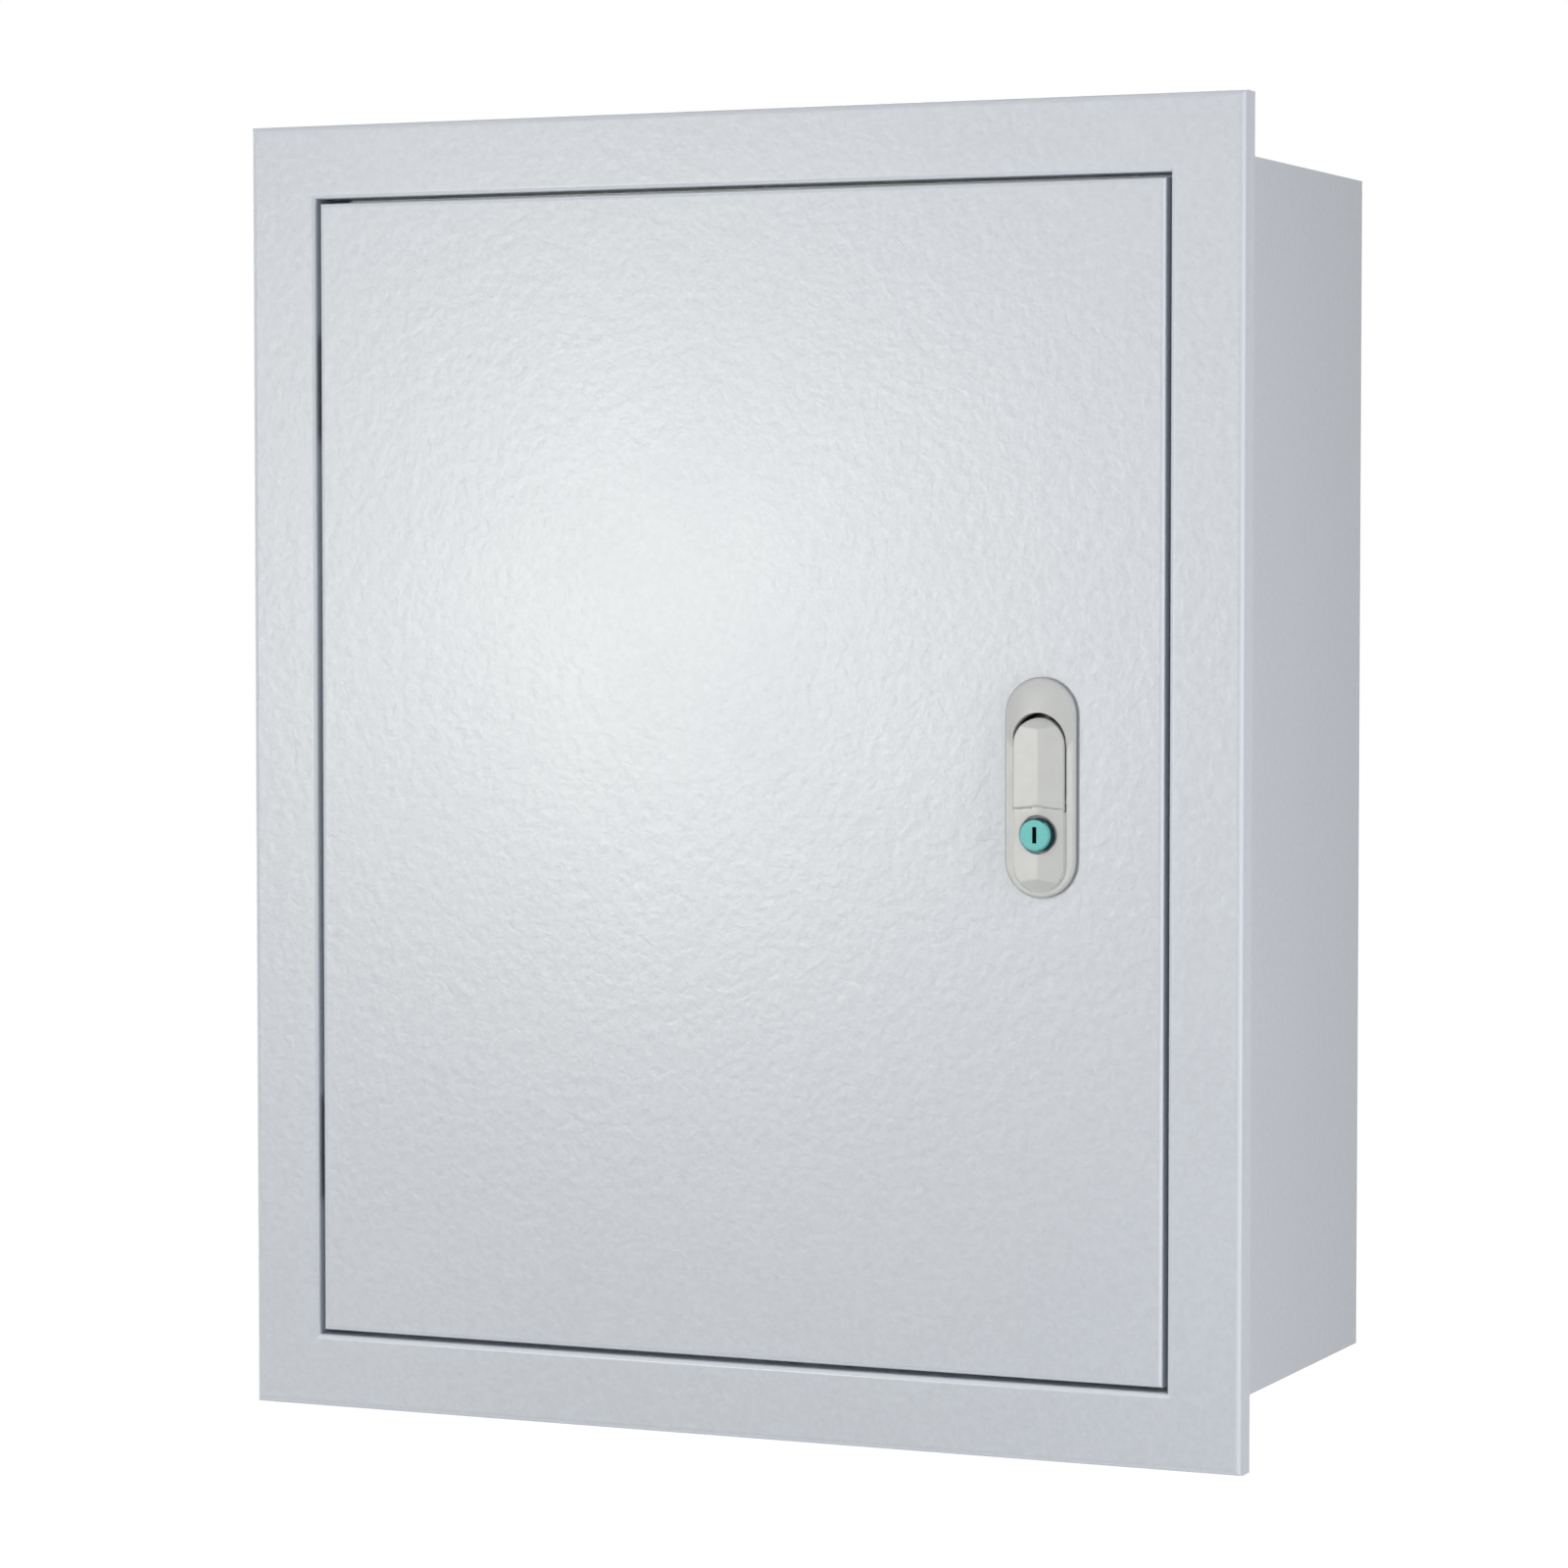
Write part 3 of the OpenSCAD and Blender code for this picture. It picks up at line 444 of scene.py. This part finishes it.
MAKERS = {
    "paint": powder_coat, "lock_paint": lock_paint, "teal": teal_lacquer,
    "zinc": zinc_plate, "galvanised": galvanised_sheet, "brass": brass,
    "gasket": gasket_rubber,
}


def paint_nodes():
    """Gives each CAD node the material of its record slot."""
    finishes = {slot: maker() for slot, maker in MAKERS.items()}
    for part in frame["record"]["subparts"]:
        node = nodes[part["node"]]
        node.data.materials.clear()
        node.data.materials.append(finishes[part["material_slot"]])
    return finishes


# ---- mesh helpers ------------------------------------------------------------

def add_piece(name, mesh, body, slot, *replaced):
    piece = bpy.data.objects.new(name, mesh)
    bpy.context.scene.collection.objects.link(piece)
    mesh.materials.clear()
    mesh.materials.append(finishes[slot])
    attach(piece, body)
    if replaced:
        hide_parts(*replaced)
    return piece


def smooth_shading(mesh, sharp_angle=40):
    mesh.shade_smooth()
    mesh.set_sharp_from_angle(angle=math.radians(sharp_angle))


def apply_modifiers(piece, slot):
    """Turns a piece's modifiers into its mesh."""
    bpy.context.view_layer.update()
    shaped = piece.evaluated_get(bpy.context.evaluated_depsgraph_get())
    mesh = bpy.data.meshes.new_from_object(shaped)
    piece.modifiers.clear()
    piece.data = mesh
    mesh.materials.clear()
    mesh.materials.append(finishes[slot])
    return mesh


def bevelled_copy(name, node, body, slot, width, segments=2, sharpest=28):
    """A copy of a CAD node with its sharp edges rounded off and its flat faces flat."""
    shape = bmesh.new()
    shape.from_mesh(nodes[node].data)
    bmesh.ops.remove_doubles(shape, verts=shape.verts, dist=1e-7)
    bmesh.ops.dissolve_limit(shape, angle_limit=math.radians(0.8),
                             verts=shape.verts, edges=shape.edges)
    edges = [e for e in shape.edges
             if e.is_manifold and e.calc_face_angle(0) > math.radians(sharpest)]
    bmesh.ops.bevel(shape, geom=edges, offset=width, segments=segments, profile=0.5,
                    affect="EDGES", clamp_overlap=True)
    bmesh.ops.triangulate(shape, faces=[f for f in shape.faces if len(f.verts) > 4])
    mesh = bpy.data.meshes.new(name)
    shape.to_mesh(mesh)
    shape.free()
    smooth_shading(mesh, 35)
    piece = add_piece(name, mesh, body, slot, node)
    flat_faces = piece.modifiers.new("flat_faces", "WEIGHTED_NORMAL")
    flat_faces.keep_sharp = True
    apply_modifiers(piece, slot)
    return piece


def cast_copy(name, node, body, slot, voxel, rounds):
    """A copy of a CAD node as a casting: its edges and inner corners are run smooth."""
    piece = add_piece(name, nodes[node].data.copy(), body, slot, node)
    remesh = piece.modifiers.new("remesh", "REMESH")
    remesh.mode = "VOXEL"
    remesh.voxel_size = voxel
    soften = piece.modifiers.new("soften", "SMOOTH")
    soften.factor = 0.5
    soften.iterations = rounds
    apply_modifiers(piece, slot).shade_smooth()
    return piece


def grid_mesh(name, rows, caps=True):
    """A skin over closed rings of points; caps close the first and last ring."""
    count = len(rows[0])
    points = [p for row in rows for p in row]
    faces = []
    for i in range(len(rows) - 1):
        for k in range(count):
            after = (k + 1) % count
            faces.append((i * count + k, i * count + after,
                          (i + 1) * count + after, (i + 1) * count + k))
    if caps:
        faces.append(tuple(reversed(range(count))))
        faces.append(tuple(range((len(rows) - 1) * count, len(rows) * count)))
    mesh = bpy.data.meshes.new(name)
    mesh.from_pydata(points, [], faces)
    shape = bmesh.new()
    shape.from_mesh(mesh)
    bmesh.ops.recalc_face_normals(shape, faces=shape.faces)
    shape.to_mesh(mesh)
    shape.free()
    return mesh


def joined(name, meshes):
    shape = bmesh.new()
    for mesh in meshes:
        shape.from_mesh(mesh)
        bpy.data.meshes.remove(mesh)
    whole = bpy.data.meshes.new(name)
    shape.to_mesh(whole)
    shape.free()
    return whole


# ---- fasteners ---------------------------------------------------------------

THREAD_SIDES = 24
THREAD_ROWS = 6


def thread_mesh(x, z, start, end, radius, pitch):
    """A threaded rod along Y from start to end, with both ends chamfered."""
    depth = 0.55 * pitch
    length = end - start
    steps = round(length / pitch * THREAD_ROWS)
    rows = []
    for i in range(steps + 1):
        along = length * i / steps
        near_end = min(length - along, along)
        taper = max(0.0, pitch - near_end) * 0.7
        row = []
        for k in range(THREAD_SIDES):
            phase = (along / pitch - k / THREAD_SIDES) % 1.0
            groove = depth * abs(2 * phase - 1)
            r = radius - max(groove, taper)
            angle = 2 * math.pi * k / THREAD_SIDES
            row.append((x + r * math.cos(angle), start + along, z + r * math.sin(angle)))
        rows.append(row)
    return grid_mesh("thread", rows)


NUT_SIDES = 72
# Rings of a nut, as shares of its height
NUT_LEVELS = (0.0, 0.03, 0.08, 0.14, 0.86, 0.92, 0.97, 1.0)
# Radius of its turned faces, as a share of half its width, and how fast it widens
NUT_FACE = 0.95
NUT_SLOPE = 1.9


def nut_mesh(x, z, start, end, across, bore):
    """A hexagon nut along Y with both faces turned to a cone at the corners."""
    apothem = across / 2
    height = end - start
    rings = [[(bore, 0.0)] * NUT_SIDES]
    for level in NUT_LEVELS:
        near_face = min(level, 1 - level) * height
        limit = apothem * NUT_FACE + near_face * NUT_SLOPE
        ring = []
        for k in range(NUT_SIDES):
            turn = 360 * k / NUT_SIDES
            flat = apothem / math.cos(math.radians((turn + 30) % 60 - 30))
            ring.append((min(flat, limit), level))
        rings.append(ring)
    rings.append([(bore, 1.0)] * NUT_SIDES)
    rings.append([(bore, 0.0)] * NUT_SIDES)
    points = []
    for ring in rings:
        points.append([
            (x + r * math.cos(2 * math.pi * k / NUT_SIDES), start + height * level,
             z + r * math.sin(2 * math.pi * k / NUT_SIDES))
            for k, (r, level) in enumerate(ring)])
    mesh = grid_mesh("nut", points, caps=False)
    shape = bmesh.new()
    shape.from_mesh(mesh)
    bmesh.ops.remove_doubles(shape, verts=shape.verts, dist=1e-8)
    bmesh.ops.recalc_face_normals(shape, faces=shape.faces)
    shape.to_mesh(mesh)
    shape.free()
    return mesh


def solids_of(node):
    """Lowest and highest corner of each loose solid of a CAD node."""
    shape = bmesh.new()
    shape.from_mesh(nodes[node].data)
    bmesh.ops.remove_doubles(shape, verts=shape.verts, dist=1e-7)
    left = set(shape.verts)
    found = []
    while left:
        seed = min(left, key=lambda v: tuple(v.co))
        group = {seed}
        edge = [seed]
        while edge:
            vert = edge.pop()
            for other in (e.other_vert(vert) for e in vert.link_edges):
                if other not in group:
                    group.add(other)
                    edge.append(other)
        left -= group
        low = Vector(min(v.co[i] for v in group) for i in range(3))
        high = Vector(max(v.co[i] for v in group) for i in range(3))
        found.append((low, high))
    shape.free()
    return sorted(found, key=lambda pair: tuple(pair[0]))


def make_studs():
    for name, node, body, slot in (
            ("plate_stud_threads", "plate_studs", "cabinet", "zinc"),
            ("earth_stud_thread", "earth_stud", "cabinet", "brass"),
            ("door_earth_thread", "door_earth_stud", "door", "brass")):
        rods = []
        for low, high in solids_of(node):
            middle = (low + high) / 2
            rods.append(thread_mesh(middle.x, middle.z, low.y, high.y, M6_R, M6_PITCH))
        mesh = joined(name, rods)
        smooth_shading(mesh, 30)
        add_piece(name, mesh, body, slot, node)


def make_nuts():
    for name, node, body, slot, bore in (
            ("frame_hex_nuts", "frame_nuts", "cabinet", "zinc", M5_R),
            ("plate_hex_nuts", "plate_nuts", "cabinet", "zinc", M6_R),
            ("earth_hex_nuts", "earth_nuts", "cabinet", "brass", M6_R),
            ("door_earth_hex_nuts", "door_earth_nuts", "door", "brass", M6_R),
            ("cam_hex_nut", "cam_nut", "key", "zinc", M5_R)):
        nuts = []
        for low, high in solids_of(node):
            middle = (low + high) / 2
            across = high.z - low.z
            nuts.append(nut_mesh(middle.x, middle.z, low.y, high.y, across, bore + 0.05 * MM))
        mesh = joined(name, nuts)
        smooth_shading(mesh, 30)
        add_piece(name, mesh, body, slot, node)


# ---- gasket ------------------------------------------------------------------

GASKET_W = 10 * MM
GASKET_CORNER = 7 * MM


def make_gasket():
    """The seal: a half-round bead round the inside of the door."""
    low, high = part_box("door_gasket")
    seat, tip = low.y, high.y
    half_w = high.x - GASKET_W / 2
    half_h = high.z - GASKET_W / 2
    straight_w, straight_h = half_w - GASKET_CORNER, half_h - GASKET_CORNER
    path = []
    corner_steps, side_steps = 10, 60
    for sx, sz, first in ((1, 1, 0), (-1, 1, 90), (-1, -1, 180), (1, -1, 270)):
        for i in range(corner_steps + 1):
            turn = math.radians(first + 90 * i / corner_steps)
            out = Vector((math.cos(turn), 0, math.sin(turn)))
            centre = Vector((sx * straight_w, 0, sz * straight_h))
            path.append((centre + out * GASKET_CORNER, out))
        length = 2 * (straight_w if first in (0, 180) else straight_h)
        along = Vector((-math.sin(turn), 0, math.cos(turn)))
        start = path[-1][0]
        for i in range(1, side_steps):
            path.append((start + along * length * i / side_steps, out))
    rows = []
    section = 15
    for i, (place, out) in enumerate(path):
        swell = 1 - 0.03 * (1 + math.sin(i * 0.9) * math.sin(i * 0.37 + 1.0)) / 2
        row = []
        for k in range(section):
            angle = math.pi * k / (section - 1)
            aside = -math.cos(angle) * GASKET_W / 2 * swell
            rise = math.sin(angle) ** 0.7 * (tip - seat) * swell
            row.append(tuple(place + out * aside + Vector((0, seat + rise, 0))))
        rows.append(row)
    rows.append(rows[0])
    mesh = grid_mesh("gasket_bead", rows, caps=False)
    shape = bmesh.new()
    shape.from_mesh(mesh)
    bmesh.ops.remove_doubles(shape, verts=shape.verts, dist=1e-7)
    bmesh.ops.recalc_face_normals(shape, faces=shape.faces)
    shape.to_mesh(mesh)
    shape.free()
    smooth_shading(mesh, 60)
    add_piece("gasket_bead", mesh, "door", "gasket", "door_gasket")


# ---- lock and hinges ---------------------------------------------------------

def make_lock():
    cast_copy("bezel_casting", "lock_bezel", "door", "lock_paint", 0.30 * MM, 5)
    cast_copy("lever_casting", "pull_lever", "lever", "lock_paint", 0.22 * MM, 4)
    bevelled_copy("rotor_turned", "key_rotor", "key", "teal", 0.25 * MM, segments=3)
    bevelled_copy("cam_blank", "lock_cam", "key", "zinc", 0.35 * MM)
    bevelled_copy("cam_washer_pressed", "cam_washer", "key", "zinc", 0.15 * MM)
    bevelled_copy("clamp_channel", "lock_clamp", "door", "zinc", 0.3 * MM)
    bevelled_copy("clamp_screws", "lock_screws", "door", "zinc", 0.12 * MM)


def make_hinges():
    for level in ("upper", "lower"):
        bevelled_copy(level + "_bracket", level + "_hinge_bracket", "cabinet", "zinc", 0.3 * MM)
        bevelled_copy(level + "_leaf", level + "_hinge_leaf", "door", "zinc", 0.25 * MM)
    bevelled_copy("hinge_pin_pair", "hinge_pins", "cabinet", "zinc", 0.25 * MM)


def make_fittings():
    bevelled_copy("frame_screw_set", "frame_screws", "cabinet", "zinc", 0.12 * MM)
    bevelled_copy("plate_washer_set", "plate_washers", "cabinet", "zinc", 0.15 * MM)
    bevelled_copy("plate_spacer_set", "plate_spacers", "cabinet", "zinc", 0.3 * MM)
    bevelled_copy("earth_washer_set", "earth_washers", "cabinet", "brass", 0.15 * MM)
    bevelled_copy("door_earth_washer_set", "door_earth_washers", "door", "brass", 0.15 * MM)
    make_studs()
    make_nuts()


# ---- assembly ----------------------------------------------------------------

bpy.context.scene.view_settings.view_transform = "Standard"
make_camera()
make_lights()
make_world()
make_floor()
finishes = paint_nodes()
make_gasket()
make_lock()
make_hinges()
make_fittings()
